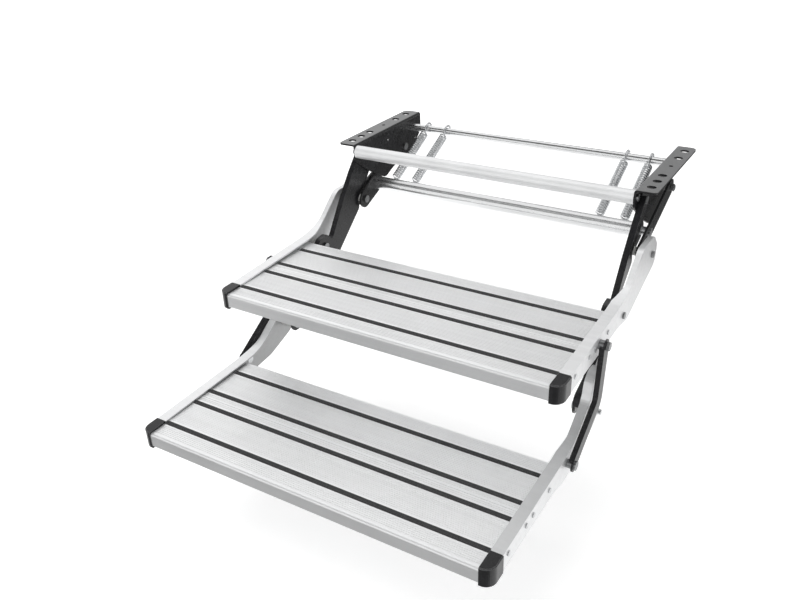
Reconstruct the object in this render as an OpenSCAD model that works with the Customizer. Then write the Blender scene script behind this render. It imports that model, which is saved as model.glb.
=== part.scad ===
// Two-tread folding entry step for a caravan.
// X runs across the step, Y toward the vehicle and Z up.
// The origin is the middle of the bolt pattern, on the top face of the mounting brackets.

/* [Treads] */
// Width over the outer faces of the side panels
step_w = 556; // [500:2:600]
// Depth of a tread, front edge to rear edge
tread_d = 217; // [212:0.5:218]
// Thickness of a tread plank
plank_t = 22; // [20:0.5:24]
// Wall of the extruded planks
plank_wall = 1.8; // [1.5:0.1:2.2]
// Distance from a plank's outer edge to its first grip strip
grip_edge = 33; // [28:1:38]
// Distance between the two grip strips of one plank, on a tread of full depth
grip_pitch = 59; // [54:1:62]
// Width of a grip strip
grip_w = 8; // [6:0.5:10]
// Height of a grip strip above the plank
grip_proud = 0.8; // [0.4:0.1:1.5]
// Pitch of the fine ribs on the planks
rib_pitch = 3.2; // [2.6:0.1:4]
// Depth of the fine ribs
rib_depth = 0.4; // [0.2:0.1:0.6]
// Depth of the corner caps along the tread
cap_d = 31; // [26:1:36]

/* [Side panels] */
// Sheet thickness of the side panels
panel_t = 2.5; // [2:0.1:3]
// Width of the panel's top flange over the planks
panel_lip = 16.5; // [14:0.5:17]
// Width of the top flange along the upper panel's arm
upper_arm_lip = 9; // [7:0.5:12]
// Width of the top flange along the lower panel's arm
lower_arm_lip = 13; // [9:0.5:14]
// Radius of the panels' rounded rear ends
panel_end_r = 25; // [22:0.5:26]

/* [Linkage] */
// How far the upper tread moves toward the vehicle as the step folds
upper_travel = 300; // [294:1:306]
// How far the upper tread rises as the step folds
upper_lift = 15; // [12:1:18]
// How far the lower tread moves toward the vehicle, measured on the upper tread
lower_travel = 226; // [222:1:230]
// How far the lower tread rises, measured on the upper tread
lower_lift = 35; // [32:1:38]
// Angle that the rear arms swing through, degrees
rear_swing = 145; // [143:0.5:147]
// Angle that the front arms swing through, degrees
front_swing = 105; // [104:0.5:106]
// Angle that the outer links swing through, degrees
link_swing = 87.4; // [86:0.2:89]
// Shank radius of the pivot bolts
pivot_r = 4; // [3.5:0.1:4.5]
// Running clearance of the pivots, on the radius
pivot_fit = 0.05; // [0.02:0.01:0.1]

/* [Brackets and cross members] */
// Length of a mounting bracket
bracket_len = 229; // [225:1:235]
// Width of the bracket's top flange
flange_w = 33.5; // [31:0.5:36]
// Sheet thickness of the brackets
bracket_t = 3; // [2.5:0.1:3.4]
// Width of the mounting slots
slot_w = 12; // [10:0.5:13]
// Length of the mounting slots, end to end
slot_len = 14; // [13.5:0.5:18]
// Diameter of the front cross tube
front_tube_d = 22; // [20:0.5:24]
// Diameter of the lower cross tube
lower_tube_d = 24; // [22:0.5:25]
// Diameter of the rod that carries the springs
rod_d = 14; // [12:0.5:15]
// Wall of the cross tubes
tube_wall = 1.5; // [1.2:0.1:2]

/* [Springs] */
// Outer diameter of the spring coils
coil_d = 11; // [10:0.5:12]
// Wire diameter of the springs
wire_d = 2.2; // [1.8:0.1:2.4]
// Turns in a spring
coil_turns = 20; // [14:1:22]
// Distance of the inner springs from the middle of the step
spring_inner = 173; // [166:1:180]
// Distance between the two springs of one side
spring_pitch = 41; // [35:1:46]

/* [Hidden] */
$fn = 48;

// Places in the side view are [y, z] from the upper tread's front top edge
lower_at = [-tread_d / 2 - 83, -136.1];

// Pivots of the linkage, worked out so that both end positions close exactly
upper_move = [upper_travel, upper_lift];
lower_move = [lower_travel, lower_lift];
front_pivot = [tread_d + 23, -14.5];
step_pivot = front_pivot + [122, 46.5];
link_top = [tread_d / 2 + 28.5, -7.5];
front_top = front_pivot - swing_arm(upper_move, front_swing);
rear_top = step_pivot - swing_arm(upper_move, rear_swing);
lower_pivot = front_pivot + swing_arm(lower_move, front_swing);
link_foot = link_top + swing_arm(lower_move, link_swing);
lower_tube_at = step_pivot + [42, 17];

// The mounting plane and the brackets, placed from the pivots they carry
mount_plane_z = front_top.y + 28.9;
bracket_front = front_top.x - 42.2;
bracket_rear = bracket_front + bracket_len;
front_tube_at = [bracket_front + 8, mount_plane_z - 14];
rear_part = bracket_rear - rear_top.x;
rod_at = [rear_top.x + 0.53 * rear_part, mount_plane_z - 21.5];
side_hole_at = [rear_top.x + 0.68 * rear_part, mount_plane_z - 45];
upper_hole_at = [rear_top.x - 57, mount_plane_z - 22];
side_hole_r = 3;

// Layers of the linkage, as distances from the middle plane
panel_out = step_w / 2;
panel_in = panel_out - panel_t;
lip_in = panel_out - panel_lip;
arm_lip = 9.5;
front_arm_in = panel_out - 28;
front_arm_t = 2.5;
front_arm_out = front_arm_in + front_arm_t;
web_out = front_arm_in - 0.5;
web_in = web_out - bracket_t;
flange_out = web_in + flange_w;
lug_t = 3;
lug_out = web_in - 0.5;
lug_in = lug_out - lug_t;
rear_arm_in = front_arm_in + 6.8;
rear_arm_t = 3.7;
rear_arm_out = rear_arm_in + rear_arm_t;
link_in = panel_out + 3;
link_t = 2.5;
link_out = panel_out + 10.5;
link_web_in = link_out - link_t;

// Treads
plank_d = tread_d / 2 - 0.15;
groove_d = 1.6;
full_depth = 217;
grip_at = [grip_edge, grip_edge + grip_pitch * tread_d / full_depth];
port_at = [grip_edge + 13, plank_d - 10.35];
port_z = -6.5;
port_bore = 2.1;
port_r = 4.3;
nose_r = 4;
strip_half = panel_out - 18;
cap_proud = 1;
panel_top = 2.5;
panel_bottom = -plank_t - panel_t;
screw_head_r = 3.6;
screw_head_h = 1.6;

// Mounting slots, as distances from the bracket's front edge
slot_x = web_in + 19;
front_slots = [22, 50, 78];
small_hole_at = bracket_len - 104;
small_hole_r = 3.2;
rear_slots = [bracket_len - 61, bracket_len - 23];
mount_mid_y = bracket_front + (front_slots[0] + rear_slots[1]) / 2;

// Heads of the fasteners
head_r = 6.5;
small_head_r = 5.2;
head_h = 3.5;
washer_fit = 0.3;
tube_screw_r = 3;

steel = "#2b2c2e";
aluminium = "#dcdddd";
zinc = "#b9bbbd";

function turned(v, a) = [v.x * cos(a) - v.y * sin(a), v.x * sin(a) + v.y * cos(a)];

// The arm whose moving end travels by d when it swings through a, in its first position
function swing_arm(d, a) = turned(d, -90 - a / 2) / (2 * sin(a / 2));

function unit(v) = v / norm(v);
function left_of(v) = [-v.y, v.x];
function arc_points(c, r, from, sweep, n) =
    [for (i = [0 : n]) c + r * [cos(from + sweep * i / n), sin(from + sweep * i / n)]];
function short_way(a) = a > 180 ? a - 360 : (a < -180 ? a + 360 : a);

// The rounded corner at b between a and c, with radius r
function corner(a, b, c, r) =
    r <= 0 ? [b] :
    let (
        u = unit(a - b),
        w = unit(c - b),
        half = acos(u * w) / 2,
        reach = r / tan(half),
        centre = b + unit(u + w) * r / sin(half),
        from = b + u * reach - centre,
        to = b + w * reach - centre,
        start = atan2(from.y, from.x),
        sweep = short_way(atan2(to.y, to.x) - start)
    )
    arc_points(centre, r, start, sweep, max(1, ceil(abs(sweep) / 9)));

// A line of [y, z, corner radius] points with its corners rounded
function rounded(p) = [
    for (i = [0 : len(p) - 1])
        let (n = len(p), a = p[(i + n - 1) % n], b = p[i], c = p[(i + 1) % n])
        each corner([a.x, a.y], [b.x, b.y], [c.x, c.y], b[2])
];

// A band of thickness t on the left of a path
function band(path, t) =
    let (
        last = len(path) - 1,
        normal = [for (i = [0 : last]) left_of(unit(path[min(last, i + 1)] - path[max(0, i - 1)]))]
    )
    concat(path, [for (i = [last : -1 : 0]) path[i] + t * normal[i]]);

// A path parallel to the bent line a-b-c, d to its left
function beside(a, b, c, d) =
    let (n1 = left_of(unit(b - a)), n2 = left_of(unit(c - b)))
    [a + d * n1, b + d * (n1 + n2) / (1 + n1 * n2), c + d * n2];

module placed() {
    translate([0, -mount_mid_y, -mount_plane_z]) children();
}

module at_lower() {
    translate([0, lower_at.x, lower_at.y]) children();
}

module on_side(side) {
    if (side > 0) children();
    else mirror([1, 0, 0]) children();
}

module both() {
    for (side = [-1, 1]) on_side(side) children();
}

// A side-view outline between two distances from the middle plane
module slab(from, to) {
    translate([from, 0, 0]) rotate([90, 0, 90]) linear_extrude(to - from) children();
}

module rod_x(at, from, to, r) {
    translate([from, at.x, at.y]) rotate([0, 90, 0]) cylinder(h = to - from, r = r);
}

module ring_x(at, from, to, r, bore) {
    difference() {
        rod_x(at, from, to, r);
        rod_x(at, from - 1, to + 1, bore);
    }
}

module hex_x(at, from, to, r) {
    translate([from, at.x, at.y]) rotate([0, 90, 0]) cylinder(h = to - from, r = r, $fn = 6);
}

module stadium(a, b, r) {
    across = r * left_of(unit(b - a));
    translate(a) circle(r);
    translate(b) circle(r);
    polygon([a + across, a - across, b - across, b + across]);
}

// Planks of a tread, extruded with closed cells, screw ports, grip grooves and fine ribs

module plank_body() {
    polygon(rounded([
        [0, -plank_t, 2], [plank_d, -plank_t, 0.5], [plank_d, 0, 0.5], [0, 0, nose_r],
    ]));
}

module plank_cells() {
    mid = (grip_at[0] + grip_at[1]) / 2;
    webs = [0, grip_at[0], mid, grip_at[1], plank_d];
    for (i = [0 : len(webs) - 2]) {
        from = webs[i] + (i == 0 ? plank_wall : plank_wall / 2);
        to = webs[i + 1] - (i == len(webs) - 2 ? plank_wall : plank_wall / 2);
        low = -plank_t + plank_wall;
        polygon(rounded([[from, low, 1], [to, low, 1], [to, -plank_wall, 1], [from, -plank_wall, 1]]));
    }
}

module plank_grooves() {
    for (y = grip_at) translate([y - grip_w / 2, -groove_d]) square([grip_w, groove_d + 1]);
    zones = [
        [nose_r + 2, grip_at[0] - grip_w / 2 - 2],
        [grip_at[0] + grip_w / 2 + 2, grip_at[1] - grip_w / 2 - 2],
        [grip_at[1] + grip_w / 2 + 2, plank_d - 2],
    ];
    for (zone = zones) {
        count = floor((zone[1] - zone[0]) / rib_pitch);
        start = (zone[0] + zone[1] - (count - 1) * rib_pitch) / 2;
        for (i = [0 : count - 1])
            translate([start + i * rib_pitch - rib_pitch / 4, -rib_depth]) square([rib_pitch / 2, 1]);
    }
}

module plank_section() {
    difference() {
        union() {
            difference() {
                plank_body();
                plank_cells();
            }
            for (y = grip_at)
                translate([y - grip_w / 2 - 1.5, -groove_d - plank_wall])
                    square([grip_w + 3, groove_d + plank_wall - 0.2]);
            for (y = port_at) {
                translate([y, port_z]) circle(port_r);
                translate([y - port_r / 2, port_z]) square([port_r, -port_z - plank_wall / 2]);
            }
        }
        plank_grooves();
        for (y = port_at) translate([y, port_z]) circle(port_bore);
    }
}

module front_plank() {
    color(aluminium) difference() {
        slab(-panel_in, panel_in) plank_section();
        both() translate([lip_in, -1, -plank_t - 1]) cube([panel_lip, cap_d + 1, plank_t + 2]);
    }
}

module rear_plank() {
    color(aluminium) slab(-panel_in, panel_in)
        translate([tread_d, 0]) mirror([1, 0]) plank_section();
}

module grip_section() {
    half = grip_w / 2 - 0.05;
    difference() {
        polygon(rounded([
            [-half, -groove_d, 0], [half, -groove_d, 0],
            [half, grip_proud, 0.6], [-half, grip_proud, 0.6],
        ]));
        for (y = [-half / 2, 0, half / 2])
            translate([y - 0.25, grip_proud - 0.5]) square([0.5, 1]);
    }
}

module grips() {
    for (y = [grip_at[0], grip_at[1], tread_d - grip_at[1], tread_d - grip_at[0]])
        color(steel) slab(-strip_half, strip_half) translate([y, 0]) grip_section();
}

module screws() {
    for (y = [port_at[0], port_at[1], tread_d - port_at[1], tread_d - port_at[0]])
        both() color(zinc) {
            rod_x([y, port_z], panel_out, panel_out + screw_head_h, screw_head_r);
            rod_x([y, port_z], panel_out - 16, panel_out + 0.01, port_bore - 0.05);
        }
}

module cap(side) {
    front = -0.6;
    inner = lip_in;
    outer = panel_out + cap_proud;
    low = panel_bottom - 1;
    high = panel_top + 1;
    bevel = 1.2;
    color(steel) on_side(side) {
        translate([0, 0, low + bevel]) linear_extrude(high - low - 2 * bevel)
            polygon(rounded([[inner, front, 0], [outer, front, 15], [outer, cap_d, 0], [inner, cap_d, 0]]));
        for (z = [low, high - bevel - 0.01]) translate([0, 0, z]) linear_extrude(bevel + 0.01)
            polygon(rounded([
                [inner, front + bevel, 0], [outer - bevel, front + bevel, 14],
                [outer - bevel, cap_d, 0], [inner, cap_d, 0],
            ]));
    }
}

// Side panels: a web with a flange over the planks, running back as a curved arm

function upper_top_edge() =
    let (c = step_pivot, rear = c.x + panel_end_r + 1, top = c.y + 28, cut = 20)
    [
        [cap_d, panel_top, 0], [tread_d + 7, 9, 160], [tread_d + 45, 19, 60], [c.x - 49, top, 26],
        [rear - cut, top, 14], [rear, top - cut, 14], [rear, c.y + 1, 0],
    ];

function upper_low_edge() =
    let (c = step_pivot, rear = c.x + panel_end_r + 1)
    [
        [rear, c.y - 23, 21], [c.x - 20, c.y - 37, 80], [tread_d + 45, -31, 30],
        [tread_d + 3, panel_bottom, 60], [cap_d, panel_bottom, 0],
    ];

function lower_top_edge() =
    let (end = lower_pivot - lower_at)
    [
        [cap_d, panel_top, 0], [tread_d + 9, 6, 160], [tread_d + 45, 12, 60], [end.x - 22, 44, 24],
        [end.x - 12, 82, 22], [end.x + 34, 80, panel_end_r], [end.x + 34, 50, 0],
    ];

function lower_low_edge() =
    let (end = lower_pivot - lower_at)
    [
        [end.x + 34, 16, 20], [end.x + 16, -7, 40], [end.x - 44, -28, 60], [tread_d + 8, -34, 50],
        [tread_d - 27, panel_bottom, 60], [cap_d, panel_bottom, 0],
    ];

module side_panel(top_edge, low_edge, thin_lip, bores) {
    taper_from = tread_d + 8;
    taper_to = tread_d + 45;
    far = 500;
    color(aluminium) difference() {
        union() {
            slab(panel_in, panel_out) polygon(rounded(concat(top_edge, low_edge)));
            difference() {
                slab(lip_in, panel_out) polygon(band(rounded(top_edge), -panel_t));
                translate([0, 0, -far / 2]) linear_extrude(far) polygon([
                    [lip_in - 1, taper_from], [panel_out - thin_lip, taper_to],
                    [panel_out - thin_lip, far], [lip_in - 1, far],
                ]);
            }
            translate([lip_in + 3, cap_d, panel_bottom])
                cube([panel_lip - 3, tread_d - cap_d, panel_t]);
        }
        for (bore = bores) rod_x([bore.x, bore.y], panel_in - 1, panel_out + 1, bore.z);
        for (y = [port_at[0], port_at[1], tread_d - port_at[1], tread_d - port_at[0]])
            rod_x([y, port_z], panel_in - 1, panel_out + 1, port_bore);
    }
}

module upper_side(side) {
    on_side(side) side_panel(upper_top_edge(), upper_low_edge(), upper_arm_lip, [
        [step_pivot.x, step_pivot.y, pivot_r + pivot_fit],
        [front_pivot.x, front_pivot.y, pivot_r],
        [link_top.x, link_top.y, pivot_r],
    ]);
}

module lower_side(side) {
    end = lower_pivot - lower_at;
    foot = link_foot - lower_at;
    at_lower() on_side(side) side_panel(lower_top_edge(), lower_low_edge(), lower_arm_lip, [
        [end.x, end.y, pivot_r],
        [foot.x, foot.y, pivot_r],
    ]);
}

// Front arms: a bent plate from the bracket past the upper tread down to the lower tread.
// Its outline is [along, across] the line from the front pivot to the top pivot.

arm_tip = 12;

function on_front_arm(p) =
    let (u = unit(front_top - front_pivot), q = front_pivot + p.x * u + p.y * left_of(u))
    [q.x, q.y, p.z];

// The step pivot as [along, across] the same line
function notch_at() =
    let (u = unit(front_top - front_pivot), d = step_pivot - front_pivot)
    [d * u, d * left_of(u)];

function front_arm_front() =
    let (reach = norm(front_top - front_pivot), b = front_pivot, e = lower_pivot)
    [
        on_front_arm([reach - 6, 22.5, 0]),
        on_front_arm([reach - 50, 17, 60]),
        on_front_arm([reach - 100, 8, 90]),
        on_front_arm([17, -11, 7]),
        [b.x + 9, b.y + 19.5, 10],
        [b.x - 20, b.y + 16, 14],
        [b.x - 20, b.y - 24, 14],
        [e.x + 58, e.y + 48, 60],
        [e.x + 22, e.y + 30, 26],
        [e.x - arm_tip, e.y + 19, 16],
    ];

function front_arm_rear() =
    let (reach = norm(front_top - front_pivot), b = front_pivot, e = lower_pivot, notch = notch_at())
    [
        [e.x - arm_tip, e.y - 12, 13],
        [e.x + 24, e.y - 14, 30],
        [b.x + 10, b.y - 62, 50],
        on_front_arm([10, -46, 30]),
        on_front_arm([notch.x - 17, notch.y - 3.4, 8]),
        on_front_arm([notch.x - 10, notch.y + 12.6, 8]),
        on_front_arm([reach - 40, -31, 30]),
        on_front_arm([reach + 8, -22.5, 10]),
    ];

module front_arm(side) {
    flange_end = [lower_pivot.x - arm_tip, lower_pivot.y + 5, 0];
    color(steel) on_side(side) difference() {
        union() {
            slab(front_arm_in, front_arm_out) {
                polygon(rounded(concat(front_arm_front(), front_arm_rear())));
                translate(front_top) circle(22.5);
            }
            slab(front_arm_in, front_arm_in + arm_lip)
                polygon(band(rounded(concat(front_arm_front(), [flange_end])), front_arm_t));
        }
        rod_x(front_top, front_arm_in - 1, front_arm_out + 1, pivot_r);
        rod_x(front_pivot, front_arm_in - 1, front_arm_out + 1, pivot_r + pivot_fit);
        rod_x(lower_pivot, front_arm_in - 1, front_arm_out + 1, pivot_r + pivot_fit);
    }
}

// The nut end of the upper front pivot, fixed in the arm
module front_arm_nuts() {
    both() color(zinc) {
        rod_x(front_top, front_arm_in, front_arm_out + 4, pivot_r);
        hex_x(front_top, front_arm_out, front_arm_out + 4, head_r);
    }
}

module front_arm_pivots() {
    both() color(zinc) {
        rod_x(front_pivot, front_arm_in - head_h, front_arm_in - 0.1, head_r);
        rod_x(front_pivot, front_arm_in - 0.2, panel_out + 0.01, pivot_r);
        rod_x(front_pivot, panel_out, panel_out + 2.6, small_head_r);
    }
}

module upper_bushes() {
    both() color(zinc)
        ring_x(front_pivot, front_arm_out + washer_fit, panel_in, 8.5, pivot_r);
}

// The upper tread's stub pivots that carry the outer links
module link_top_pivots() {
    both() color(zinc) {
        rod_x(link_top, panel_in, link_out + 4, pivot_r);
        rod_x(link_top, panel_out, link_web_in - washer_fit, 7);
        hex_x(link_top, link_out + washer_fit, link_out + 4.5, 7);
    }
}

module lower_pivots() {
    both() color(zinc) {
        rod_x(lower_pivot, front_arm_in - head_h, front_arm_in - 0.1, head_r);
        rod_x(lower_pivot, front_arm_in - 0.2, panel_out + 11, pivot_r);
        hex_x(lower_pivot, panel_out, panel_out + 6, head_r);
    }
}

module lower_bushes() {
    both() color(zinc)
        ring_x(lower_pivot, front_arm_out + washer_fit, panel_in, 8.5, pivot_r);
}

// Outer links: a bent angle section outside the side panels

link_half = 9.5;
link_u = unit(link_foot - link_top);
link_knee = link_top + 74.6 * link_u + 40.7 * left_of(link_u);

module link(side) {
    front_edge = beside(link_top, link_knee, link_foot, -link_half);
    rear_edge = beside(link_foot, link_knee, link_top, -link_half);
    front_path = rounded([for (i = [0 : 2]) [front_edge[i].x, front_edge[i].y, i == 1 ? 12 : 0]]);
    rear_path = rounded([for (i = [0 : 2]) [rear_edge[i].x, rear_edge[i].y, i == 1 ? 26 : 0]]);
    color(steel) on_side(side) difference() {
        union() {
            slab(link_web_in, link_out) {
                translate(link_top) circle(link_half);
                translate(link_foot) circle(link_half);
                polygon(concat(front_path, rear_path));
            }
            slab(link_in, link_out) polygon(band(front_path, link_t));
        }
        rod_x(link_top, link_in - 1, link_out + 1, pivot_r + pivot_fit);
        rod_x(link_foot, link_in - 1, link_out + 1, pivot_r);
    }
}

// The foot of a link, whose rivet ends short of the lower panel
module link_foot_rivets() {
    both() color(zinc) {
        rod_x(link_foot, panel_out + 0.4, link_out + 0.01, pivot_r);
        rod_x(link_foot, panel_out + 0.4, link_web_in, 6);
        rod_x(link_foot, link_out, link_out + 3, head_r);
    }
}

module link_foot_heads() {
    both() color(zinc) {
        rod_x(link_foot, panel_in, panel_out + 0.1, pivot_r);
        rod_x(link_foot, panel_in - head_h, panel_in, 6);
    }
}

// Rear arms with the lugs that carry the lower cross tube

module rear_arm(side) {
    color(steel) on_side(side) difference() {
        slab(rear_arm_in, rear_arm_out) stadium(step_pivot, rear_top, 14);
        rod_x(step_pivot, rear_arm_in - 1, rear_arm_out + 1, pivot_r);
        rod_x(lower_tube_at, rear_arm_in - 1, rear_arm_out + 1, pivot_r);
        rod_x(rear_top, rear_arm_in - 1, rear_arm_out + 1, pivot_r + pivot_fit);
    }
}

module tube_lug(side) {
    color(steel) on_side(side) difference() {
        slab(lug_in, lug_out) stadium(step_pivot, lower_tube_at, 16);
        rod_x(step_pivot, lug_in - 1, lug_out + 1, pivot_r);
        rod_x(lower_tube_at, lug_in - 1, lug_out + 1, pivot_r);
    }
}

// A cross tube with a screw port in its middle, carried by three ribs
module port_tube(at, half, d, port) {
    hub = port + tube_wall;
    color(aluminium) slab(-half, half) translate(at) {
        difference() {
            circle(d / 2);
            circle(d / 2 - tube_wall);
        }
        difference() {
            union() {
                circle(hub);
                for (a = [90, 210, 330])
                    rotate(a) translate([0, -tube_wall / 2]) square([d / 2 - tube_wall / 2, tube_wall]);
            }
            circle(port);
        }
    }
}

module lower_cross_tube() {
    difference() {
        port_tube(lower_tube_at, lug_in, lower_tube_d, pivot_r);
        both() for (x = spring_xs()) spring_frame(x)
            translate([0, 0, spring_span() - lower_tube_d / 2 - 1]) cylinder(h = 4, r = wire_d * 0.8);
    }
}

module tube_bolts() {
    both() color(zinc) {
        rod_x(lower_tube_at, lug_in - 20, rear_arm_out + 0.01, pivot_r);
        ring_x(lower_tube_at, lug_out, rear_arm_in, 7, pivot_r);
        rod_x(lower_tube_at, rear_arm_out, rear_arm_out + 3, head_r);
    }
}

module step_pivot_bolts() {
    both() color(zinc) {
        rod_x(step_pivot, lug_in - head_h, lug_in, head_r);
        rod_x(step_pivot, lug_in - 0.01, panel_out + 3.5, pivot_r);
        rod_x(step_pivot, panel_out + washer_fit, panel_out + 3.5, small_head_r);
    }
}

module lug_spacers() {
    both() color(zinc) {
        ring_x(step_pivot, lug_out, rear_arm_in, 7, pivot_r);
        ring_x(step_pivot, rear_arm_out, panel_in - washer_fit, 8.5, pivot_r);
    }
}

// Mounting brackets: a slotted flange on top of a web that carries the arms

module web_outline() {
    heel = rear_top + [21.4, -16.8];
    tube = lower_tube_at;
    polygon(rounded([
        [bracket_front, mount_plane_z, 0], [bracket_rear, mount_plane_z, 0],
        [bracket_rear, mount_plane_z - 35, 8],
        [heel.x, heel.y, min(40, bracket_rear - heel.x)],
        [tube.x + 63, tube.y + 11, 60], [tube.x + 33, tube.y - 1, 16], [tube.x - 3, tube.y + 19, 20],
        [front_top.x + 1.8, front_top.y - 32, 20],
        [bracket_front + 6, mount_plane_z - 33, 8],
        [bracket_front, mount_plane_z - 27, 4],
    ]));
}

module slot_cutter() {
    reach = (slot_len - slot_w) / 2;
    for (dx = [-reach, reach]) translate([dx, 0]) circle(slot_w / 2);
    square([2 * reach, slot_w], center = true);
}

module bracket(side) {
    top = mount_plane_z;
    bend = bracket_t + 1.5;
    color(steel) on_side(side) difference() {
        intersection() {
            slab(web_in - 1, flange_out + 1) web_outline();
            translate([0, bracket_rear, 0]) rotate([90, 0, 0]) linear_extrude(bracket_len)
                polygon(rounded([
                    [web_in, 0, 0], [web_out, 0, 0], [web_out, top - bracket_t, 1.5],
                    [flange_out, top - bracket_t, 0], [flange_out, top, 0], [web_in, top, bend],
                ]));
            linear_extrude(2 * top) polygon(rounded([
                [web_in, bracket_front, 0], [flange_out, bracket_front, 6],
                [flange_out, bracket_rear, 10], [web_in, bracket_rear, 0],
            ]));
        }
        for (y = concat(front_slots, rear_slots))
            translate([slot_x, bracket_front + y, top - 2 * bracket_t])
                linear_extrude(3 * bracket_t) slot_cutter();
        translate([slot_x, bracket_front + small_hole_at, top - 2 * bracket_t])
            cylinder(h = 3 * bracket_t, r = small_hole_r);
        rod_x(front_tube_at, web_in - 1, web_out + 1, tube_screw_r);
        rod_x(rod_at, web_in - 1, web_out + 1, rod_d / 2 - 1);
        for (at = [rear_top, front_top]) rod_x(at, web_in - 1, web_out + 1, pivot_r);
        for (at = [upper_hole_at, side_hole_at]) rod_x(at, web_in - 1, web_out + 1, side_hole_r);
    }
}

module front_cross_tube() {
    port_tube(front_tube_at, web_in, front_tube_d, tube_screw_r);
}

module front_tube_screws() {
    both() color(zinc) {
        rod_x(front_tube_at, web_in - 18, web_out + 0.01, tube_screw_r);
        rod_x(front_tube_at, web_out, web_out + 3, 5.5);
    }
}

module spring_rod() {
    color(zinc) {
        rod_x(rod_at, -web_in, web_in, rod_d / 2);
        rod_x(rod_at, -web_out - 3, web_out + 3, rod_d / 2 - 1);
    }
}

module spring_rod_clips() {
    both() color(zinc) ring_x(rod_at, web_out, web_out + 2, rod_d / 2 + 1.5, rod_d / 2 - 1);
}

module rear_arm_bolts() {
    both() color(zinc) {
        rod_x(rear_top, web_in - head_h, web_in, head_r);
        rod_x(rear_top, web_in - 0.01, rear_arm_out + 6, pivot_r);
        hex_x(rear_top, rear_arm_out + washer_fit, rear_arm_out + 5, head_r);
    }
}

module rear_arm_spacers() {
    both() color(zinc) ring_x(rear_top, web_out, rear_arm_in - washer_fit, head_r, pivot_r);
}

// The head end of the upper front pivot, fixed in the bracket
module front_arm_bolt_heads() {
    both() color(zinc) {
        rod_x(front_top, web_in - head_h, web_in, head_r);
        rod_x(front_top, web_in - 0.01, web_out + 0.2, pivot_r);
    }
}

// Tension springs from the rod to the lower cross tube

function spring_span() = norm(lower_tube_at - rod_at);
function spring_xs() = [spring_inner, spring_inner + spring_pitch];

// The spring's own frame: Z runs from the rod to the tube, X across the step
module spring_frame(x) {
    run = lower_tube_at - rod_at;
    translate([x, rod_at.x, rod_at.y]) rotate([atan2(run.y, run.x) - 90, 0, 0]) children();
}

function coil_path() =
    let (
        mean_r = (coil_d - wire_d) / 2,
        hook_r = (rod_d + wire_d) / 2 + 0.2,
        hook_rise = 5,
        tip = spring_span() - lower_tube_d / 2,
        coil_from = hook_r + 2.5,
        coil_to = tip - 3.5,
        steps = 8,
        count = coil_turns * steps
    )
    concat(
        [for (a = [-100 : 25 : 150])
            [0, hook_r * sin(a), -(hook_r + hook_rise * max(0, cos(a))) * cos(a)]],
        [for (i = [0 : count])
            [mean_r * sin(360 * i / steps), mean_r * cos(360 * i / steps),
                coil_from + (coil_to - coil_from) * i / count]],
        [[0, 1, tip - 2.2], [0, 0, tip - 0.8], [0, 0, tip + 2]]
    );

// The normals of a path, each carried over from the one before
function carried_normals(t) = [
    for (i = 0, n = [1, 0, 0]; i < len(t);
        i = i + 1, n = i < len(t) ? unit(n - (n * t[i]) * t[i]) : n) n
];

module wire(path, r, sides) {
    last = len(path) - 1;
    tangents = [for (i = [0 : last]) unit(path[min(last, i + 1)] - path[max(0, i - 1)])];
    normals = carried_normals(tangents);
    points = [
        for (i = [0 : last])
            let (n = unit(normals[i] - (normals[i] * tangents[i]) * tangents[i]), b = cross(tangents[i], n))
            for (k = [0 : sides - 1])
                path[i] + r * (cos(360 * k / sides) * n + sin(360 * k / sides) * b)
    ];
    skin = [
        for (i = [0 : last - 1], k = [0 : sides - 1])
            let (a = i * sides + k, b = i * sides + (k + 1) % sides)
            each [[a, b + sides, b], [a, a + sides, b + sides]]
    ];
    caps = [
        [for (k = [0 : sides - 1]) k],
        [for (k = [sides - 1 : -1 : 0]) last * sides + k],
    ];
    polyhedron(points, concat(skin, caps));
}

module spring(x) {
    color(zinc) spring_frame(x) wire(coil_path(), wire_d / 2, 5);
}

placed() bracket(-1);  // bracket_left
placed() bracket(1);  // bracket_right
placed() front_cross_tube();
placed() front_tube_screws();
placed() spring_rod();
placed() spring_rod_clips();
placed() rear_arm_bolts();
placed() rear_arm_spacers();
placed() front_arm_bolt_heads();
placed() rear_arm(-1);  // rear_arm_left
placed() rear_arm(1);  // rear_arm_right
placed() tube_lug(-1);  // tube_lug_left
placed() tube_lug(1);  // tube_lug_right
placed() lower_cross_tube();
placed() tube_bolts();
placed() step_pivot_bolts();
placed() lug_spacers();
placed() spring(-spring_xs()[1]);  // spring_left_outer
placed() spring(-spring_xs()[0]);  // spring_left_inner
placed() spring(spring_xs()[0]);  // spring_right_inner
placed() spring(spring_xs()[1]);  // spring_right_outer
placed() front_plank();  // upper_plank_front
placed() rear_plank();  // upper_plank_rear
placed() upper_side(-1);  // upper_side_left
placed() upper_side(1);  // upper_side_right
placed() cap(-1);  // upper_cap_left
placed() cap(1);  // upper_cap_right
placed() grips();  // upper_grips
placed() screws();  // upper_screws
placed() front_arm_pivots();
placed() upper_bushes();
placed() link_top_pivots();
placed() front_arm(-1);  // front_arm_left
placed() front_arm(1);  // front_arm_right
placed() front_arm_nuts();
placed() at_lower() front_plank();  // lower_plank_front
placed() at_lower() rear_plank();  // lower_plank_rear
placed() lower_side(-1);  // lower_side_left
placed() lower_side(1);  // lower_side_right
placed() at_lower() cap(-1);  // lower_cap_left
placed() at_lower() cap(1);  // lower_cap_right
placed() at_lower() grips();  // lower_grips
placed() at_lower() screws();  // lower_screws
placed() lower_pivots();
placed() lower_bushes();
placed() link_foot_heads();
placed() link(-1);  // link_left
placed() link(1);  // link_right
placed() link_foot_rivets();
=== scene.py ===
"""Folding caravan entry step: finishes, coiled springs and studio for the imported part."""

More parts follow.
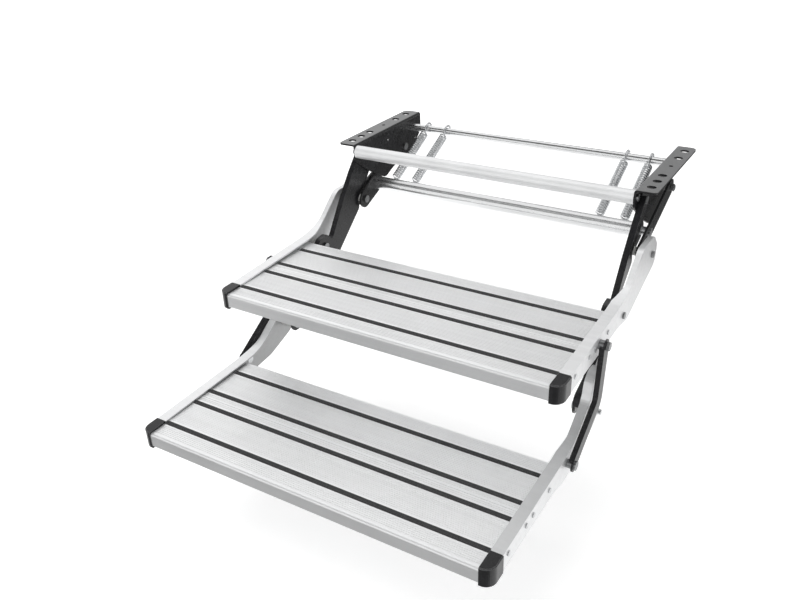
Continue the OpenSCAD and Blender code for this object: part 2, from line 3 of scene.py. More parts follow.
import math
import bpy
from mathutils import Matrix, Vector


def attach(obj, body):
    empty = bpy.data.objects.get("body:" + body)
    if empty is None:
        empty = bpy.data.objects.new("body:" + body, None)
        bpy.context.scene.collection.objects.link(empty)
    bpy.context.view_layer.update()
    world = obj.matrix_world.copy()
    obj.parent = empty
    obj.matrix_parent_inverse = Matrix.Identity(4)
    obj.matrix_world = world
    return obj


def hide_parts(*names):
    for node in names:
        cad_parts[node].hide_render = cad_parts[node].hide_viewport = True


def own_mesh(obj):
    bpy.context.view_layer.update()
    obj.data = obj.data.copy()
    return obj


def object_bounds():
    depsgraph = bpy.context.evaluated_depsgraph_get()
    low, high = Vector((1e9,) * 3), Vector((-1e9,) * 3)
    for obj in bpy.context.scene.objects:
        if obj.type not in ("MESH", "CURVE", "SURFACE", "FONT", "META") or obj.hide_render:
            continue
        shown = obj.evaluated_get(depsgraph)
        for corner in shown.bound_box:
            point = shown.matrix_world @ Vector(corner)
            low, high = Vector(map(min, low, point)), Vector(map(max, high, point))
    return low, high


bl_info = {
    "name": "Folding caravan entry step",
    "version": (1, 0, 0),
    "blender": (4, 5, 0),
    "location": "3D View > Sidebar > Entry step",
    "description": "Finishes, coiled springs and a studio for a two-tread folding entry step",
    "category": "Object",
}

import bpy
import numpy as np
from bpy.props import FloatProperty, FloatVectorProperty, IntProperty, PointerProperty
from bpy.types import Operator, Panel, PropertyGroup

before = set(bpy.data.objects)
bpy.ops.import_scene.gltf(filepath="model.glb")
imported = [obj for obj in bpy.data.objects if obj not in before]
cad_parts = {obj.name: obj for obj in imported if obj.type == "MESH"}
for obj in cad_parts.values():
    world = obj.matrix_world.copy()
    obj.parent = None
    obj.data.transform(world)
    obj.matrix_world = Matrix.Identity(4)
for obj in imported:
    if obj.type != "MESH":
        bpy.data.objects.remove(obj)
CAD_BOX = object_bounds()

# Where the springs hang, in metres in the part's own frame
ROD = np.array([0.0, 0.08614, -0.0215])
TUBE = np.array([0.0, -0.05205, -0.088])
ROD_R = 0.007
TUBE_R = 0.012
SPRINGS = {
    "spring_left_outer": -0.214,
    "spring_left_inner": -0.173,
    "spring_right_inner": 0.173,
    "spring_right_outer": 0.214,
}
COIL_TOP = 0.0105  # from the rod's middle to the start of the coil
COIL_END = 0.0032  # from the end of the coil to the tube
TAIL_IN = 0.0015  # how deep the tail goes into the tube
OPENING_TURNS = 0.9  # the coil reaches its full radius within this many turns
HOOK_ARC = (-82, 128)  # the hook's way round the rod, in degrees
HOOK_GAP = 0.0002  # between the rod and the hook
SLEEVE = 0.5  # how much thicker the sleeve makes the hook
SLEEVE_FADE = 6  # points over which the sleeve thins out
COIL_POINTS = 22  # points in one turn of the coil
WIRE_SIDES = 8

# Plain colours, linear: a painted sheen for level tops, painted highlights for edges, grit and
# nylon
TOP_SHEEN_GREY = (0.16, 0.161, 0.163)
EDGE_HIGHLIGHT_STEEL = (0.16, 0.16, 0.165)
EDGE_HIGHLIGHT_PLASTIC = (0.20, 0.20, 0.205)
EDGE_HIGHLIGHT_RUBBER = (0.16, 0.16, 0.16)
GRIT = (0.11, 0.11, 0.112)
NYLON_DARK, NYLON_LIGHT = (0.50, 0.50, 0.49), (0.60, 0.60, 0.585)

# The studio: each lamp's place, target and side, and each card's x range, two [y, z] edges and grey
CARD_LEVEL = CAD_BOX[0][2] - 0.15
LAMPS = {
    "lamp_overhead": ((-0.5, -0.9, 1.9), (0, -0.25, -0.1), 1.8, "key"),
    "lamp_front": ((1.0, -2.2, 0.5), (0, -0.3, -0.15), 1.4, "fill"),
}
CARDS = {
    "card_over_tubes": ((-3, 3), (-0.45, 1.85), (-1.75, 1.15), 0.14),
    "card_before_step": ((-2.5, 3), (-2.6, CARD_LEVEL), (-0.72, CARD_LEVEL), 0.26),
    "card_floor_behind": ((0.0, 2.2), (0.60, CARD_LEVEL), (2.0, CARD_LEVEL), 0.16),
    "card_back": ((-0.85, 2.4), (1.7, 0.12), (1.9, 2.5), 0.60),
}
FLOOR_HALF = 6.0
FLOOR_GREY = (0.86, 0.86, 0.86, 1)
GLOW_NEAR, GLOW_FAR, GLOW_LEAST = 0.9, 2.2, 0.42
CAMERA_PLACE = (0.55747, -1.26372, 0.44426)
CAMERA_TURN = (60.7808, 1.9303, 31.1485)
CAMERA_LENS, CAMERA_SHIFT = 37.248, (0.0004, 0.0172)


# Sizes and colours that a user would change

class SpringSizes(PropertyGroup):
    """The four tension springs."""

    wire: FloatProperty(name="Wire", description="Diameter of the spring wire", default=0.0029,
                        min=0.001, max=0.0032, unit="LENGTH", subtype="DISTANCE", precision=4)
    coil: FloatProperty(name="Coil", description="Diameter over the coils", default=0.0160,
                        min=0.008, max=0.018, unit="LENGTH", subtype="DISTANCE", precision=4)
    turns: IntProperty(name="Turns", description="Turns in one spring", default=26, min=20, max=36)
    hook: FloatProperty(name="Hook reach",
                        description="How far the hook rises past the rod's middle",
                        default=0.0132, min=0.0085, max=0.0135, unit="LENGTH",
                        subtype="DISTANCE", precision=4)


class FinishColours(PropertyGroup):
    """Colours of the finishes, linear."""

    tread: FloatVectorProperty(name="Treads", description="Satin aluminium of the planks",
                               subtype="COLOR", default=(0.95, 0.955, 0.96), min=0, max=1)
    panel: FloatVectorProperty(name="Side panels", description="Satin aluminium of the panels",
                               subtype="COLOR", default=(0.84, 0.845, 0.85), min=0, max=1)
    tube: FloatVectorProperty(name="Tubes", description="Bright aluminium of the tubes",
                              subtype="COLOR", default=(0.83, 0.835, 0.84), min=0, max=1)
    zinc: FloatVectorProperty(name="Zinc", description="Zinc plate of bolts, rod and springs",
                              subtype="COLOR", default=(0.66, 0.67, 0.68), min=0, max=1)
    paint: FloatVectorProperty(name="Black steel", description="Powder coat of the steel parts",
                               subtype="COLOR", default=(0.011, 0.011, 0.012), min=0, max=1)
    cap: FloatVectorProperty(name="Caps", description="Moulded plastic of the end caps",
                             subtype="COLOR", default=(0.011, 0.011, 0.012), min=0, max=1)
    grip: FloatVectorProperty(name="Grip strips", description="Gritted rubber of the strips",
                              subtype="COLOR", default=(0.021, 0.021, 0.022), min=0, max=1)


class StudioSizes(PropertyGroup):
    """Camera, lamps and floor."""

    floor_drop: FloatProperty(name="Floor drop", description="Ground below the lower tread",
                              default=0.16, min=0.0, max=0.5, unit="LENGTH", subtype="DISTANCE")
    key: FloatProperty(name="Main lamp", description="Strength of the large lamp overhead",
                       default=34.0, min=0, max=500, unit="POWER")
    fill: FloatProperty(name="Fill lamp", description="Strength of the lamp at the front",
                        default=10.0, min=0, max=500, unit="POWER")
    room: FloatProperty(name="Room light", description="Strength of the light from all sides",
                        default=0.55, min=0, max=2)


# Shader graphs written as expressions

class Reading:
    """What a shader socket gives. Arithmetic on it adds the Math nodes."""

    def __init__(self, sheet, socket):
        self.sheet, self.socket = sheet, socket

    def _math(self, operation, first, second):
        return self.sheet.node("ShaderNodeMath", {"operation": operation}, {0: first, 1: second})

    def __add__(self, other):
        return self._math("ADD", self, other)

    def __radd__(self, other):
        return self._math("ADD", other, self)

    def __sub__(self, other):
        return self._math("SUBTRACT", self, other)

    def __rsub__(self, other):
        return self._math("SUBTRACT", other, self)

    def __mul__(self, other):
        return self._math("MULTIPLY", self, other)

    def __rmul__(self, other):
        return self._math("MULTIPLY", other, self)


class Finish:
    """One material: a Principled shader and the nodes that feed it."""

    def __init__(self, name, **sockets):
        self.material = bpy.data.materials.new(name)
        self.material.use_nodes = True
        self.tree = self.material.node_tree
        self.shader = self.tree.nodes["Principled BSDF"]
        self.places = self.node("ShaderNodeTexCoord", out="Object")
        self.set(**sockets)

    def node(self, kind, settings=None, sockets=None, out=0):
        """Adds a node of this type, sets it, then gives its sockets values or links."""
        made = self.tree.nodes.new(kind)
        for name, value in (settings or {}).items():
            setattr(made, name, value)
        for name, value in (sockets or {}).items():
            self.feed(made.inputs[name], value)
        return Reading(self, made.outputs[out])

    def feed(self, socket, value):
        """Links a reading to a socket, or sets the socket's own value."""
        if isinstance(value, Reading):
            self.tree.links.new(value.socket, socket)
        else:
            socket.default_value = value

    def set(self, **sockets):
        """Values or readings for the shader's sockets, with _ for a space in their names."""
        for name, value in sockets.items():
            self.feed(self.shader.inputs[name.replace("_", " ")], value)

    def stretched(self, along, across_y, across_z):
        """The object's places, scaled per axis, so that a pattern runs along one of them."""
        return self.node("ShaderNodeMapping", {}, {"Vector": self.places,
                                                   "Scale": (along, across_y, across_z)})

    def noise(self, scale, detail=2.0, roughness=0.5, places=None):
        """Soft noise from 0 to 1, with this many waves in a metre."""
        return self.node("ShaderNodeTexNoise", {}, {
            "Vector": places or self.places, "Scale": scale, "Detail": detail,
            "Roughness": roughness})

    def ramp(self, value, low, high, to_low=0.0, to_high=1.0):
        """A smooth step of value from low to high, given between two results."""
        return self.node("ShaderNodeMapRange", {"interpolation_type": "SMOOTHSTEP"}, {
            "Value": value, "From Min": low, "From Max": high, "To Min": to_low,
            "To Max": to_high})

    def mix(self, factor, first, second):
        """The first colour, turned into the second as the factor rises to 1."""
        pair = [c if isinstance(c, Reading) else (*c, 1.0) for c in (first, second)]
        return self.node("ShaderNodeMix", {"data_type": "RGBA"},
                         {0: factor, 6: pair[0], 7: pair[1]}, out=2)

    def round_edges(self, radius):
        """Normals that turn over every sharp edge as a small fillet of this radius does."""
        return self.node("ShaderNodeBevel", {"samples": 6}, {"Radius": radius})

    def edges(self, rounded, gain):
        """1 on sharp edges and 0 on the flats: how far the rounded normal leaves the true one."""
        true = self.node("ShaderNodeNewGeometry", out="True Normal")
        facing = self.node("ShaderNodeVectorMath", {"operation": "DOT_PRODUCT"},
                           {0: rounded, 1: true}, out="Value")
        return self.ramp((1.0 - facing) * gain, 0.02, 1.0)

    def looks_up(self, low, high):
        """1 on faces that look up and 0 on upright ones: the mask for painted light and shade that
        goes by which way a face looks.
        """
        way = self.node("ShaderNodeNewGeometry", out="Normal")
        rise = self.node("ShaderNodeSeparateXYZ", {}, {"Vector": way}, out="Z")
        return self.ramp(rise, low, high)

    def bump(self, height, depth, rounded=None):
        """A bump map of this height, as deep in metres, over the rounded edges."""
        sockets = {"Height": height, "Strength": 1.0, "Distance": depth}
        if rounded is not None:
            sockets["Normal"] = rounded
        return self.node("ShaderNodeBump", {}, sockets)


def shade(colour, factor):
    """A colour made darker or lighter."""
    return tuple(min(1.0, c * factor) for c in colour)


def drawn_aluminium(name, colour, gloss, lines=1.0, metal=0.80, top_shade=0.0, upright=1.0):
    """Extruded aluminium: lines along X from the die, stains and a painted highlight on its edges.
    Level faces darken towards half tone as painted shade, by the share given, and upright faces
    take painted shade, their tone times the factor given."""
    finish = Finish(name, Metallic=metal, IOR=1.45)
    rounded = finish.round_edges(0.0006)
    die = finish.noise(1.0, 3.0, 0.6, finish.stretched(6.0, 2600.0, 2600.0))
    band = finish.noise(1.0, 2.0, 0.5, finish.stretched(1.2, 160.0, 160.0))
    stain = finish.noise(14.0, detail=4.0, roughness=0.55)
    grain = finish.noise(2200.0, detail=2.0, roughness=0.6)
    edge = finish.edges(rounded, 9.0)
    cloud = finish.ramp(stain * 0.5 + band * 0.5, 0.35, 0.65)
    tone = finish.mix(cloud, shade(colour, 0.955), shade(colour, 1.02))
    # painted shade: upright faces darker, their tone times the given factor
    if upright < 1.0:
        side = finish.mix(cloud, shade(colour, 0.955 * upright), shade(colour, 1.02 * upright))
        tone = finish.mix(finish.looks_up(0.3, 0.8), side, tone)
    # painted shade: level faces darken towards half tone by the given share
    if top_shade > 0.0:
        tone = finish.mix(finish.looks_up(0.45, 0.9) * top_shade, tone, shade(colour, 0.5))
    finish.set(
        # painted highlight: the edges lighter
        Base_Color=finish.mix(edge * 0.6, tone, shade(colour, 1.14)),
        Roughness=gloss + 0.10 * (stain - 0.5) + 0.08 * (die - 0.5) - 0.07 * edge,
        Normal=finish.bump(die * 0.7 + grain * 0.3, 0.00003 * lines, rounded),
    )
    return finish.material


def bright_tube(name, colour, gloss, metal=1.0):
    """A drawn tube: almost a mirror round it, with faint draw lines along it and handling haze."""
    finish = Finish(name, Metallic=metal)
    rounded = finish.round_edges(0.0005)
    draw = finish.noise(1.0, 3.0, 0.6, finish.stretched(4.0, 1500.0, 1500.0))
    haze = finish.noise(22.0, detail=4.0, roughness=0.6)
    finish.set(
        Base_Color=finish.mix(finish.ramp(haze, 0.35, 0.7), shade(colour, 0.95), colour),
        Roughness=gloss + 0.09 * (haze - 0.5) + 0.06 * (draw - 0.5),
        Normal=finish.bump(draw, 0.00001, rounded),
    )
    return finish.material


def powder_coat(name, colour, top_sheen):
    """Black powder coat: orange peel, a painted highlight on its edges and, by the given share, a
    painted sheen on its level tops.
    """
    finish = Finish(name, IOR=1.5, Specular_IOR_Level=0.34)
    rounded = finish.round_edges(0.0007)
    peel = finish.noise(620.0, detail=2.0, roughness=0.45)
    dust = finish.noise(55.0, detail=5.0, roughness=0.65)
    speck = finish.noise(1900.0, detail=1.0, roughness=0.5)
    edge = finish.edges(rounded, 7.0)
    # painted highlight on the edges, broken up by noise
    edge_highlight = edge * finish.ramp(dust, 0.42, 0.62)
    # painted sheen: level tops turn lighter towards a plain grey, by the given share
    level = finish.looks_up(0.85, 0.99) * top_sheen
    tone = finish.mix(finish.ramp(dust, 0.40, 0.75), colour, shade(colour, 1.35))
    tone_with_painted_light = finish.mix(level * (0.75 + 0.5 * dust), tone, TOP_SHEEN_GREY)
    finish.set(
        Base_Color=finish.mix(edge_highlight * 0.5, tone_with_painted_light, EDGE_HIGHLIGHT_STEEL),
        Roughness=0.28 + 0.14 * (dust - 0.5) + 0.06 * (speck - 0.5) + 0.12 * level,
        Normal=finish.bump(peel * 0.8 + speck * 0.2, 0.00005, rounded),
    )
    return finish.material


def zinc_plate(name, colour, gloss=0.30):
    """Zinc plate on steel: bright, a little clouded, with a fine passivated grain and a painted
    highlight on its edges.
    """
    finish = Finish(name, Metallic=1.0)
    rounded = finish.round_edges(0.0004)
    cloud = finish.noise(130.0, detail=4.0, roughness=0.6)
    grain = finish.noise(2600.0, detail=2.0, roughness=0.6)
    edge = finish.edges(rounded, 8.0)
    tone = finish.mix(finish.ramp(cloud, 0.35, 0.68), shade(colour, 0.82), shade(colour, 1.08))
    finish.set(
        # painted highlight: the edges lighter
        Base_Color=finish.mix(edge * 0.5, tone, shade(colour, 1.25)),
        Roughness=gloss + 0.16 * (cloud - 0.5),
        Normal=finish.bump(grain, 0.00002, rounded),
    )
    return finish.material


def spring_steel(name, colour):
    """Plated spring wire: bright, in darker and lighter clouds at random along it."""
    finish = Finish(name, Metallic=1.0)
    cloud = finish.noise(420.0, detail=4.0, roughness=0.65)
    grain = finish.noise(3800.0, detail=2.0, roughness=0.6)
    finish.set(
        Base_Color=finish.mix(finish.ramp(cloud, 0.38, 0.62), shade(colour, 0.72),
                              shade(colour, 1.12)),
        Roughness=0.30 + 0.22 * (cloud - 0.5),
        Normal=finish.bump(grain, 0.000015),
    )
    return finish.material


def moulded_plastic(name, colour):
    """Injection-moulded plastic: fine spark-eroded grain, glossy where it has been rubbed, with a
    painted highlight along its edges.
    """
    finish = Finish(name, IOR=1.49, Specular_IOR_Level=0.32)
    rounded = finish.round_edges(0.0012)
    grain = finish.noise(1700.0, detail=2.0, roughness=0.55)
    rub = finish.noise(60.0, detail=3.0, roughness=0.5)
    edge = finish.edges(rounded, 6.0)
    finish.set(
        # painted highlight: the edges lighter
        Base_Color=finish.mix(edge * 0.7, finish.mix(finish.ramp(rub, 0.35, 0.7), colour,
                                                     shade(colour, 1.3)), EDGE_HIGHLIGHT_PLASTIC),
        Roughness=0.24 + 0.12 * (rub - 0.5) - 0.06 * edge,
        Normal=finish.bump(grain, 0.00003, rounded),
    )
    return finish.material


def gritted_rubber(name, colour):
    """Anti-slip strip: hard grains bonded in dark rubber, greyed by dust in patches, with a painted
    highlight along its edges.
    """
    finish = Finish(name, IOR=1.5)
    rounded = finish.round_edges(0.0005)
    grit = finish.node("ShaderNodeTexVoronoi", {"feature": "F1"},
                       {"Vector": finish.places, "Scale": 1500.0}, out="Distance")
    dust = finish.noise(70.0, detail=4.0, roughness=0.6)
    edge = finish.edges(rounded, 8.0)
    speck = finish.ramp(grit, 0.16, 0.05)
    tone = finish.mix(finish.ramp(dust, 0.35, 0.7), colour, shade(colour, 1.5))
    # painted highlight: the edges lighter
    tone_with_painted_light = finish.mix(edge * 0.55, tone, EDGE_HIGHLIGHT_RUBBER)
    finish.set(
        Base_Color=finish.mix(speck * 0.5, tone_with_painted_light, GRIT),
        Roughness=0.74 + 0.14 * (dust - 0.5) - 0.2 * speck,
        Normal=finish.bump(1.0 - grit, 0.00018, rounded),
    )
    return finish.material


def nylon(name):
    """Off-white nylon of the bushes and washers."""
    finish = Finish(name, IOR=1.53)
    rounded = finish.round_edges(0.0003)
    haze = finish.noise(240.0, detail=3.0, roughness=0.6)
    finish.set(
        Base_Color=finish.mix(finish.ramp(haze, 0.3, 0.7), NYLON_DARK, NYLON_LIGHT),
        Roughness=0.46 + 0.1 * (haze - 0.5),
        Normal=finish.bump(haze, 0.00002, rounded),
    )
    return finish.material


def dress(nodes, material):
    """Gives CAD nodes a finish, on their own material slots."""
    for name in nodes:
        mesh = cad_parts[name].data
        mesh.materials.clear()
        mesh.materials.append(material)


def piece_from_grid(name, grid, material, body):
    """A mesh from a grid of points (rows, columns, 3): each cell a quad, columns closed round,
    and a fan over each end, with faces outwards."""
    rows, columns = grid.shape[:2]
    points = grid.reshape(-1, 3)
    row, column = np.meshgrid(np.arange(rows - 1), np.arange(columns), indexing="ij")
    after = (column + 1) % columns
    here, there = row * columns, (row + 1) * columns
    quads = np.stack([here + column, here + after, there + after, there + column], -1)
    faces = quads.reshape(-1, 4).tolist()
    faces.append(list(range(columns))[::-1])
    faces.append(list(range((rows - 1) * columns, rows * columns)))
    mesh = bpy.data.meshes.new(name)
    mesh.from_pydata(points.tolist(), [], faces)
    mesh.validate()
    mesh.shade_smooth()
    piece = bpy.data.objects.new(name, mesh)
    bpy.context.scene.collection.objects.link(piece)
    mesh.materials.append(material)
    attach(piece, body)
    return piece


# Shapes

def bridge(start, start_way, end, end_way, count):
    """A cubic from start to end that leaves and arrives along the given ways."""
    t = np.linspace(0, 1, count, endpoint=False)[:, None]
    return ((2 * t**3 - 3 * t**2 + 1) * start + (t**3 - 2 * t**2 + t) * start_way
            + (3 * t**2 - 2 * t**3) * end + (t**3 - t**2) * end_way)


def spring_line(sizes, span):
    """The wire's middle line in the spring's own frame, Z from the rod to the tube.

    A hook (half ellipse) stands round the rod. A cubic leads to the axis, where a helix opens
    to the coil's radius within a turn, runs down evenly, and closes to the axis again before
    the straight tail that enters the tube. The hook is thicker by its sleeve. The line comes
    with its radii and with the number of points before the helix.
    """
    mean = (sizes.coil - sizes.wire) / 2
    side = ROD_R + (1 + SLEEVE) * sizes.wire / 2 + HOOK_GAP
    turn = np.radians(np.linspace(*HOOK_ARC, 48))
    reach = side + (sizes.hook - side) * np.clip(np.cos(turn), 0, 1)
    hook = np.stack([0 * turn, side * np.sin(turn), -reach * np.cos(turn)], -1)
    top, low = COIL_TOP, span - TUBE_R - COIL_END
    share = np.linspace(0, 1, COIL_POINTS * sizes.turns)
    phase = 2 * np.pi * sizes.turns * share
    rate = sizes.turns / OPENING_TURNS
    opening = np.clip(share * rate, 0, 1) * np.clip((1 - share) * rate, 0, 1)
    opening = opening * opening * (3 - 2 * opening)
    coil = np.stack([mean * opening * np.sin(phase), mean * opening * np.cos(phase),
                     top + (low - top) * share], -1)
    lead = bridge(hook[-1], np.array([0, -0.006, 0.005]),
                  coil[0], np.array([0, -0.006, 0.001]), 12)
    down = np.arange(1, 9) / 8
    tail = np.stack([0 * down, 0 * down, low + (COIL_END + TAIL_IN) * down], -1)
    line = np.concatenate([hook, lead, coil, tail])
    sleeved = np.clip((len(hook) - np.arange(len(line))) / SLEEVE_FADE - 1, 0, 1)
    return line, sizes.wire / 2 * (1 + SLEEVE * sleeved), len(hook) + len(lead)


def wire_grid(line, radius, sides):
    """A tube on a line: circles across it, centre + radius (cos a first + sin a second).

    The first direction is a slanted one turned square to the line's own way, or X where that
    slant runs along the line, and the second is square to both.
    """
    way = np.gradient(line, axis=0)
    way /= np.linalg.norm(way, axis=1, keepdims=True)
    lean = np.array([0.55, 0.1, 0.83]) * np.ones_like(line)
    near = np.abs((lean * way).sum(1, keepdims=True)) > 0.93
    lean = np.where(near, np.array([1.0, 0.0, 0.0]), lean)
    first = lean - (lean * way).sum(1, keepdims=True) * way
    first /= np.linalg.norm(first, axis=1, keepdims=True)
    second = np.cross(way, first)
    angle = np.linspace(0, 2 * np.pi, sides, endpoint=False)[None, :, None]
    ring = np.cos(angle) * first[:, None] + np.sin(angle) * second[:, None]
    return line[:, None] + np.reshape(radius, (-1, 1, 1)) * ring


class StepOperator:
    """What the operators share: they run in one go and can be undone."""

    bl_options = {"REGISTER", "UNDO"}


class ENTRYSTEP_OT_treads(StepOperator, Operator):
    """Satin extruded planks with gritted strips let into them"""

    bl_idname = "entrystep.treads"
    bl_label = "Treads"

    def execute(self, context):
        colours = context.scene.entrystep_colours
        # painted shade on the planks' upright faces
        tread = drawn_aluminium("tread_satin", colours.tread, gloss=0.42, upright=0.80)
        dress(["upper_plank_front", "upper_plank_rear", "lower_plank_front", "lower_plank_rear"],
              tread)
        dress(["upper_grips", "lower_grips"], gritted_rubber("grip_grit", colours.grip))
        return {"FINISHED"}


class ENTRYSTEP_OT_panels(StepOperator, Operator):
    """Satin aluminium side panels"""

    bl_idname = "entrystep.panels"
    bl_label = "Side panels"

    def execute(self, context):
        colour = context.scene.entrystep_colours.panel
        dress(["upper_side_left", "upper_side_right"],
              drawn_aluminium("upper_panel_satin", colour, gloss=0.40, lines=0.6, metal=0.55))
        # a copy of the panel finish with painted shade on its upright faces
        dress(["lower_side_left"],
              drawn_aluminium("lower_left_satin", colour, gloss=0.40, lines=0.6, metal=0.55,
                              upright=0.52))
        # a copy of the panel finish with painted shade on its level tops
        dress(["lower_side_right"],
              drawn_aluminium("lower_panel_satin", colour, gloss=0.38, lines=0.6, metal=0.65,
                              top_shade=0.5))
        return {"FINISHED"}


class ENTRYSTEP_OT_caps(StepOperator, Operator):
    """Moulded corner caps"""

    bl_idname = "entrystep.caps"
    bl_label = "Corner caps"

    def execute(self, context):
        plastic = moulded_plastic("cap_plastic", context.scene.entrystep_colours.cap)
        dress(["upper_cap_left", "upper_cap_right", "lower_cap_left", "lower_cap_right"], plastic)
        return {"FINISHED"}


class ENTRYSTEP_OT_steelwork(StepOperator, Operator):
    """Powder-coated brackets, arms, links and tube lugs"""

    bl_idname = "entrystep.steelwork"
    bl_label = "Black steelwork"

    def execute(self, context):
        paint = context.scene.entrystep_colours.paint
        # the brackets take the full painted sheen on their level tops, the arms only a little
        dress(["bracket_left", "bracket_right"],
              powder_coat("bracket_powder_coat", paint, top_sheen=1.0))
        parts = ("front_arm", "rear_arm", "tube_lug", "link")
        dress([f"{part}_{side}" for part in parts for side in ("left", "right")],
              powder_coat("arm_powder_coat", paint, top_sheen=0.12))
        return {"FINISHED"}


class ENTRYSTEP_OT_tubes(StepOperator, Operator):
    """Satin front tube, polished lower tube and plated spring rod"""

    bl_idname = "entrystep.tubes"
    bl_label = "Cross tubes and rod"

    def execute(self, context):
        colours = context.scene.entrystep_colours
        dress(["front_cross_tube"], bright_tube("tube_satin", colours.tube, gloss=0.44, metal=0.5))
        dress(["lower_cross_tube"], bright_tube("tube_polished", colours.tube, gloss=0.25))
        dress(["spring_rod"], bright_tube("rod_plated", colours.tube, gloss=0.22))
        return {"FINISHED"}


class ENTRYSTEP_OT_fasteners(StepOperator, Operator):
    """Plated bolts, screws and rivets, with nylon bushes and spacers"""

    bl_idname = "entrystep.fasteners"
    bl_label = "Bolts, screws and bushes"

    def execute(self, context):
        zinc = context.scene.entrystep_colours.zinc
        dress(["upper_screws", "lower_screws", "tube_bolts", "lower_pivots",
               "link_foot_heads"], zinc_plate("bolt_zinc", zinc))
        dress(["front_tube_screws", "spring_rod_clips", "rear_arm_bolts", "front_arm_bolt_heads",
               "front_arm_nuts", "front_arm_pivots", "step_pivot_bolts", "link_top_pivots",
               "link_foot_rivets"],
              zinc_plate("bolt_blackened", shade(zinc, 0.42), gloss=0.34))
        dress(["upper_bushes", "lower_bushes", "rear_arm_spacers", "lug_spacers"],
              nylon("bush_nylon"))
        return {"FINISHED"}


class ENTRYSTEP_OT_springs(StepOperator, Operator):
    """Wound tension springs from the rod to the lower tube"""

    bl_idname = "entrystep.springs"
    bl_label = "Springs"

    def execute(self, context):
        sizes = context.scene.entrystep_springs
        steel = spring_steel("spring_wire", shade(context.scene.entrystep_colours.zinc, 1.1))
        span = float(np.linalg.norm(TUBE - ROD))
        down = (TUBE - ROD) / span
        across = np.array([1.0, 0.0, 0.0])
        rear = np.cross(down, across)
        line, radius, before = spring_line(sizes, span)
        hook = wire_grid(line[:before + 1], radius[:before + 1], WIRE_SIDES)
        coil = wire_grid(line[before:], radius[before:], WIRE_SIDES)
        for node, x in SPRINGS.items():
            place = ROD + np.array([x, 0, 0])
            for part, grid in (("spring_hook", hook), ("coil_spring", coil)):
                turned = place + (grid[..., :1] * across + grid[..., 1:2] * rear
                                  + grid[..., 2:] * down)
                piece = piece_from_grid(node.replace("spring", part), turned, steel,
                                        "springs")
                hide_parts(node)
            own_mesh(piece)
        return {"FINISHED"}


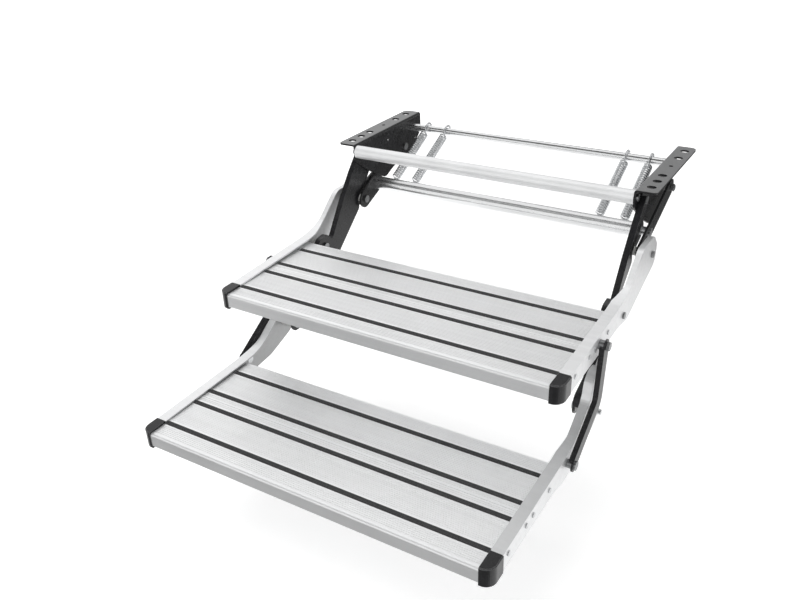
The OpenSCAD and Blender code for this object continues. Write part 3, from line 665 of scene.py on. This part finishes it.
class ENTRYSTEP_OT_stage(StepOperator, Operator):
    """White floor, soft lamps and the camera"""

    bl_idname = "entrystep.stage"
    bl_label = "Studio"

    def execute(self, context):
        studio = context.scene.entrystep_studio
        scene = context.scene
        scene.view_settings.view_transform = "Standard"
        self.floor(scene, studio)
        self.room(scene, studio)
        for name, (place, target, side, strength) in LAMPS.items():
            self.lamp(scene, name, place, target, side, getattr(studio, strength))
        for name, (across, low, high, grey) in CARDS.items():
            self.card(scene, name, across, low, high, grey)
        self.camera(scene)
        return {"FINISHED"}

    def floor(self, scene, studio):
        """A square floor under the step, white to the camera except where the shadow falls."""
        level = CAD_BOX[0][2] - studio.floor_drop
        corner = np.array([[-1, -1], [1, -1], [1, 1], [-1, 1]]) * FLOOR_HALF
        mesh = bpy.data.meshes.new("floor")
        mesh.from_pydata([(x, y, level) for x, y in corner.tolist()], [], [(0, 1, 2, 3)])
        floor = bpy.data.objects.new("floor", mesh)
        scene.collection.objects.link(floor)
        finish = Finish("floor_white", Base_Color=FLOOR_GREY, Roughness=0.9)
        seen = finish.node("ShaderNodeLightPath", out="Is Camera Ray")
        mirrored = finish.node("ShaderNodeLightPath", out="Is Glossy Ray")
        through = finish.node("ShaderNodeLightPath", out="Is Transmission Ray")
        far = finish.node("ShaderNodeVectorMath", {"operation": "LENGTH"}, {0: finish.places},
                          out="Value")
        bright = finish.ramp(far, GLOW_NEAR, GLOW_FAR, GLOW_LEAST, 1.0)
        glow = (seen + mirrored + through) * bright
        finish.set(Emission_Color=finish.mix(glow, (0, 0, 0), (1, 1, 1)), Emission_Strength=1.0)
        mesh.materials.append(finish.material)

    def room(self, scene, studio):
        """White to camera, mirror and glass rays; a plain softer level for the rest."""
        world = bpy.data.worlds.new("room")
        scene.world = world
        world.use_nodes = True
        tree = world.node_tree
        tree.nodes.clear()
        path = tree.nodes.new("ShaderNodeLightPath")
        either = tree.nodes.new("ShaderNodeMath")
        either.operation = "ADD"
        tree.links.new(path.outputs["Is Camera Ray"], either.inputs[0])
        tree.links.new(path.outputs["Is Glossy Ray"], either.inputs[1])
        all_three = tree.nodes.new("ShaderNodeMath")
        all_three.operation = "ADD"
        all_three.use_clamp = True
        tree.links.new(either.outputs[0], all_three.inputs[0])
        tree.links.new(path.outputs["Is Transmission Ray"], all_three.inputs[1])
        soft = tree.nodes.new("ShaderNodeBackground")
        soft.inputs["Color"].default_value = (1, 1, 1, 1)
        soft.inputs["Strength"].default_value = studio.room
        white = tree.nodes.new("ShaderNodeBackground")
        white.inputs["Color"].default_value = (1, 1, 1, 1)
        white.inputs["Strength"].default_value = 1.0
        blend = tree.nodes.new("ShaderNodeMixShader")
        tree.links.new(all_three.outputs[0], blend.inputs[0])
        tree.links.new(soft.outputs[0], blend.inputs[1])
        tree.links.new(white.outputs[0], blend.inputs[2])
        output = tree.nodes.new("ShaderNodeOutputWorld")
        tree.links.new(blend.outputs[0], output.inputs["Surface"])

    def lamp(self, scene, name, place, target, side, power):
        """A square soft lamp that looks at a point."""
        data = bpy.data.lights.new(name, "AREA")
        data.energy, data.size = power, side
        lamp = bpy.data.objects.new(name, data)
        scene.collection.objects.link(lamp)
        way = np.array(place, float) - np.array(target, float)
        tilt = math.atan2(math.hypot(way[0], way[1]), way[2])
        lamp.location = place
        lamp.rotation_euler = (tilt, 0, math.atan2(way[0], -way[1]))
        lamp.visible_camera = False
        lamp.visible_glossy = False

    def card(self, scene, name, across, low, high, grey):
        """A grey card between two [y, z] edges that only mirror rays see, to shade the metal."""
        mesh = bpy.data.meshes.new(name)
        mesh.from_pydata([(x, y, z) for x, (y, z) in zip((*across, *across[::-1]),
                                                         (low, low, high, high))],
                         [], [(0, 1, 2, 3)])
        card = bpy.data.objects.new(name, mesh)
        scene.collection.objects.link(card)
        mesh.materials.append(Finish(name + "_grey", Base_Color=(grey, grey, grey, 1),
                                     Roughness=1.0).material)
        card.visible_camera = card.visible_diffuse = card.visible_shadow = False
        card.visible_transmission = False

    def camera(self, scene):
        """The photograph's own view, for an image of 800 by 600."""
        data = bpy.data.cameras.new("camera")
        data.sensor_width, data.lens = 36.0, CAMERA_LENS
        data.shift_x, data.shift_y = CAMERA_SHIFT
        camera = bpy.data.objects.new("camera", data)
        scene.collection.objects.link(camera)
        camera.location = CAMERA_PLACE
        camera.rotation_euler = [math.radians(a) for a in CAMERA_TURN]
        scene.camera = camera


STEPS = (ENTRYSTEP_OT_treads, ENTRYSTEP_OT_panels, ENTRYSTEP_OT_caps, ENTRYSTEP_OT_steelwork,
         ENTRYSTEP_OT_tubes, ENTRYSTEP_OT_fasteners, ENTRYSTEP_OT_springs, ENTRYSTEP_OT_stage)


class ENTRYSTEP_PT_sidebar(Panel):
    """The step's pieces and their sizes"""

    bl_label = "Entry step"
    bl_space_type = "VIEW_3D"
    bl_region_type = "UI"
    bl_category = "Entry step"

    def draw(self, context):
        for step in STEPS:
            self.layout.operator(step.bl_idname)
        for group in (context.scene.entrystep_springs, context.scene.entrystep_colours,
                      context.scene.entrystep_studio):
            box = self.layout.box()
            for name in group.__annotations__:
                box.prop(group, name)


CLASSES = (SpringSizes, FinishColours, StudioSizes, *STEPS, ENTRYSTEP_PT_sidebar)


def register():
    for each in CLASSES:
        bpy.utils.register_class(each)
    bpy.types.Scene.entrystep_springs = PointerProperty(type=SpringSizes)
    bpy.types.Scene.entrystep_colours = PointerProperty(type=FinishColours)
    bpy.types.Scene.entrystep_studio = PointerProperty(type=StudioSizes)


def unregister():
    del bpy.types.Scene.entrystep_studio
    del bpy.types.Scene.entrystep_colours
    del bpy.types.Scene.entrystep_springs
    for each in reversed(CLASSES):
        bpy.utils.unregister_class(each)


def main():
    """Registers the add-on and runs its operators in order."""
    register()
    for step in STEPS:
        family, name = step.bl_idname.split(".")
        getattr(getattr(bpy.ops, family), name)()


if __name__ == "__main__":
    main()
